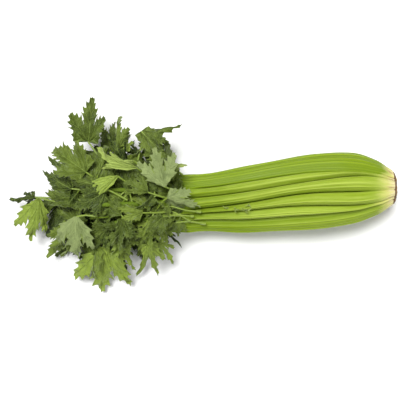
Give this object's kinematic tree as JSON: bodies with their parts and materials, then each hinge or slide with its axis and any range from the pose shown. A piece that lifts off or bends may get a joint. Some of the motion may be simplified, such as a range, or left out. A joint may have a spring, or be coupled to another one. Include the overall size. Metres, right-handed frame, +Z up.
{
  "type": "head of celery",
  "caption": "Whole head of fresh celery lying on its side: a cut crown, a bundle of ribbed green stalks and a tuft of lobed leaves.",
  "frame": {"origin": "under the middle of the head's box, on the surface that it lies on", "axes": "+X along the head towards the cut base, -X towards the leaves, +Z up"},
  "size_m": [0.4334, 0.2186, 0.0888],
  "materials": {
    "crown": "matte",
    "stalk": "satin",
    "heart": "satin",
    "leaf": "matte",
    "young_leaf": "matte"
  },
  "bodies": {
    "root": {"crown": "crown", "stalk_outer_a": "stalk", "stalk_outer_b": "stalk", "stalk_outer_c": "stalk", "stalk_outer_d": "stalk", "stalk_outer_e": "stalk", "stalk_outer_f": "stalk", "stalk_outer_g": "stalk", "stalk_outer_h": "stalk", "stalk_outer_i": "stalk", "stalk_outer_j": "stalk", "stalk_outer_k": "stalk", "stalk_outer_l": "stalk", "stalk_inner_1": "stalk", "stalk_inner_2": "stalk", "stalk_inner_3": "stalk", "stalk_inner_4": "stalk", "stalk_inner_5": "stalk", "stalk_heart_1": "heart", "stalk_heart_2": "heart", "stalk_heart_3": "heart", "leaf_under_1": "leaf", "leaf_under_2": "leaf", "leaf_under_3": "leaf", "leaf_under_4": "leaf", "leaf_under_5": "leaf", "leaf_under_6": "leaf", "leaf_under_7": "leaf", "leaf_under_8": "leaf", "leaf_low_1": "leaf", "leaf_low_2": "leaf", "leaf_low_3": "leaf", "leaf_low_4": "leaf", "leaf_low_5": "leaf", "leaf_side_1": "leaf", "leaf_side_2": "leaf", "leaf_side_3": "leaf", "leaf_side_4": "leaf", "leaf_side_5": "young_leaf", "leaf_side_6": "leaf", "leaf_side_7": "leaf", "leaf_mid_1": "leaf", "leaf_mid_2": "leaf", "leaf_mid_3": "leaf", "leaf_mid_4": "leaf", "leaf_mid_5": "leaf", "leaf_mid_6": "leaf", "leaf_mid_7": "leaf", "leaf_front_1": "leaf", "leaf_front_2": "young_leaf", "leaf_high_1": "leaf", "leaf_high_2": "leaf", "leaf_high_3": "young_leaf", "leaf_high_4": "leaf", "leaf_high_5": "leaf", "leaf_high_6": "leaf", "leaf_high_7": "leaf", "leaf_high_8": "young_leaf", "leaf_top_1": "leaf", "leaf_top_2": "leaf"}
  },
  "joints": []
}
